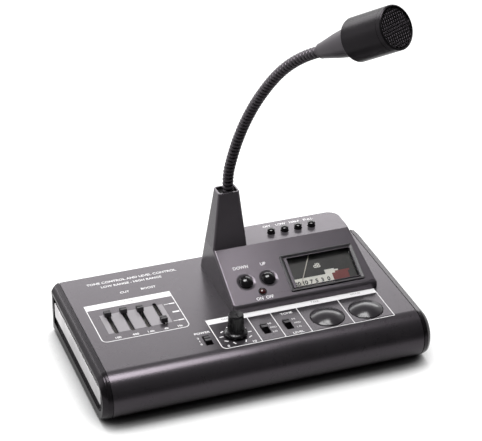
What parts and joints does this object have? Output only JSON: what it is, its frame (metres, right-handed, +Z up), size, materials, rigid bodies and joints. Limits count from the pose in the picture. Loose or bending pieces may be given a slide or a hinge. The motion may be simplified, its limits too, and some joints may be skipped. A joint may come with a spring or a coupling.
{
  "type": "desk microphone",
  "caption": "Desk microphone with a low base carrying slide, push and turn controls, a sloped meter console, a tapered tower and a ribbed gooseneck with a round head.",
  "frame": {"origin": "on the table, under the middle of the box round the whole microphone", "axes": "+X to the right along the base, +Y to the back, +Z up"},
  "size_m": [0.2544, 0.1778, 0.3044],
  "materials": {
    "cover_paint": "dark grey satin powder coat",
    "plate_paint": "dark matt coat",
    "cap_plastic": "fine satin moulding",
    "trim_metal": "brushed, clear anodised",
    "rubber": "matt",
    "console_plastic": "dark satin moulding",
    "neck_coat": "black satin coat",
    "black_plastic": "black satin",
    "head_plastic": "charcoal satin",
    "grille_metal": "black coated wire mesh",
    "steel": "plain",
    "socket_chrome": "plated",
    "capsule_metal": "plain",
    "gloss_black": "polished black",
    "meter_glass": "clear",
    "dial_print": "printed dial",
    "needle_paint": "painted",
    "lamp_red": "clear red",
    "board_green": "solder resist",
    "switch_plastic": "plain"
  },
  "bodies": {
    "base": {"top_cover": "cover_paint", "base_plate": "plate_paint", "rear_panel": "cover_paint", "left_end_cap": "cap_plastic", "right_end_cap": "cap_plastic", "left_trim": "trim_metal", "right_trim": "trim_metal", "feet": "rubber", "console_housing": "console_plastic", "stem_tower": "console_plastic", "neck_bush": "black_plastic", "neck_nut": "steel", "neck_root": "neck_coat", "meter_bezel": "gloss_black", "meter_window": "meter_glass", "meter_dial": "dial_print", "meter_case": "black_plastic", "meter_movement": "steel", "power_lamp": "lamp_red", "key_board": "board_green", "key_switches": "switch_plastic", "small_key_board": "board_green", "small_key_switches": "switch_plastic", "gain_pot": "steel", "fader_bodies": "steel", "switch_bodies": "switch_plastic", "talk_switches": "switch_plastic", "main_board": "board_green", "mic_socket": "socket_chrome", "power_jack": "black_plastic"},
    "neck_1": {"neck_link_1": "neck_coat"},
    "neck_2": {"neck_link_2": "neck_coat"},
    "neck_3": {"neck_link_3": "neck_coat"},
    "neck_4": {"neck_link_4": "neck_coat"},
    "neck_5": {"neck_link_5": "neck_coat", "mic_cone": "head_plastic", "head_barrel": "head_plastic", "head_rim": "head_plastic", "head_grille": "grille_metal", "mic_capsule": "capsule_metal", "capsule_mount": "rubber"},
    "fader_1": {"fader_knob_1": "switch_plastic"},
    "fader_2": {"fader_knob_2": "switch_plastic"},
    "fader_3": {"fader_knob_3": "switch_plastic"},
    "fader_4": {"fader_knob_4": "switch_plastic"},
    "switch_1": {"switch_lever_1": "switch_plastic"},
    "switch_2": {"switch_lever_2": "switch_plastic"},
    "switch_3": {"switch_lever_3": "switch_plastic"},
    "gain": {"gain_knob": "black_plastic", "gain_shaft": "steel"},
    "talk": {"talk_button": "gloss_black"},
    "hold": {"hold_button": "gloss_black"},
    "down_key": {"down_key": "gloss_black"},
    "up_key": {"up_key": "gloss_black"},
    "small_key_1": {"small_key_1": "gloss_black"},
    "small_key_2": {"small_key_2": "gloss_black"},
    "small_key_3": {"small_key_3": "gloss_black"},
    "small_key_4": {"small_key_4": "gloss_black"},
    "needle": {"meter_needle": "needle_paint"}
  },
  "joints": [
    {"name": "neck_bend_1", "type": "hinge", "parent": "base", "child": "neck_1", "pos_m": [0.0064, 0.05091, 0.13482], "axis": [-0.8829, -0.4695, 0], "range_deg": [-22, 22]},
    {"name": "neck_sway_2", "type": "hinge", "parent": "neck_1", "child": "neck_2", "pos_m": [0.01145, 0.04141, 0.16691], "axis": [0.4695, -0.8829, 0], "range_deg": [-22, 22]},
    {"name": "neck_bend_3", "type": "hinge", "parent": "neck_2", "child": "neck_3", "pos_m": [0.01864, 0.02789, 0.1971], "axis": [-0.8829, -0.4695, 0], "range_deg": [-22, 22]},
    {"name": "neck_sway_4", "type": "hinge", "parent": "neck_3", "child": "neck_4", "pos_m": [0.02787, 0.01052, 0.22464], "axis": [0.4695, -0.8829, 0], "range_deg": [-22, 22]},
    {"name": "neck_bend_5", "type": "hinge", "parent": "neck_4", "child": "neck_5", "pos_m": [0.03978, -0.01188, 0.24691], "axis": [-0.8829, -0.4695, 0], "range_deg": [-22, 22]},
    {"name": "fader_slide_1", "type": "slide", "parent": "base", "child": "fader_1", "axis": [0, 1, 0], "range_m": [-0.0235, 0.0025]},
    {"name": "fader_slide_2", "type": "slide", "parent": "base", "child": "fader_2", "axis": [0, 1, 0], "range_m": [-0.024, 0.002]},
    {"name": "fader_slide_3", "type": "slide", "parent": "base", "child": "fader_3", "axis": [0, 1, 0], "range_m": [-0.0225, 0.0035]},
    {"name": "fader_slide_4", "type": "slide", "parent": "base", "child": "fader_4", "axis": [0, 1, 0], "range_m": [-0.0025, 0.0235]},
    {"name": "switch_slide_1", "type": "slide", "parent": "base", "child": "switch_1", "axis": [0, 1, 0], "range_m": [-0.0032, 0.0032]},
    {"name": "switch_slide_2", "type": "slide", "parent": "base", "child": "switch_2", "axis": [0, 1, 0], "range_m": [-0.0064, 0]},
    {"name": "switch_slide_3", "type": "slide", "parent": "base", "child": "switch_3", "axis": [0, 1, 0], "range_m": [-0.0064, 0]},
    {"name": "gain_turn", "type": "hinge", "parent": "base", "child": "gain", "pos_m": [-0.0175, -0.02907, 0.04], "axis": [0, 0, 1], "range_deg": [-140, 140]},
    {"name": "talk_press", "type": "slide", "parent": "base", "child": "talk", "axis": [0, 0, -1], "range_m": [0, 0.003], "stiffness_N_per_m": 400, "springref_m": -0.002},
    {"name": "hold_press", "type": "slide", "parent": "base", "child": "hold", "axis": [0, 0, -1], "range_m": [0, 0.003], "stiffness_N_per_m": 400, "springref_m": -0.002},
    {"name": "down_press", "type": "slide", "parent": "base", "child": "down_key", "axis": [0, 0.4493, -0.8934], "range_m": [0, 0.0015], "stiffness_N_per_m": 300, "springref_m": -0.002},
    {"name": "up_press", "type": "slide", "parent": "base", "child": "up_key", "axis": [0, 0.4493, -0.8934], "range_m": [0, 0.0015], "stiffness_N_per_m": 300, "springref_m": -0.002},
    {"name": "small_key_press_1", "type": "slide", "parent": "base", "child": "small_key_1", "axis": [0, 0, -1], "range_m": [0, 0.0018], "stiffness_N_per_m": 300, "springref_m": -0.002},
    {"name": "small_key_press_2", "type": "slide", "parent": "base", "child": "small_key_2", "axis": [0, 0, -1], "range_m": [0, 0.0018], "stiffness_N_per_m": 300, "springref_m": -0.002},
    {"name": "small_key_press_3", "type": "slide", "parent": "base", "child": "small_key_3", "axis": [0, 0, -1], "range_m": [0, 0.0018], "stiffness_N_per_m": 300, "springref_m": -0.002},
    {"name": "small_key_press_4", "type": "slide", "parent": "base", "child": "small_key_4", "axis": [0, 0, -1], "range_m": [0, 0.0018], "stiffness_N_per_m": 300, "springref_m": -0.002},
    {"name": "needle_swing", "type": "hinge", "parent": "base", "child": "needle", "pos_m": [0.0674, 0.03661, 0.06334], "axis": [0, -0.4493, 0.8934], "range_deg": [0, 60], "stiffness_Nm_per_rad": 0.0002, "springref_deg": -17.19}
  ]
}
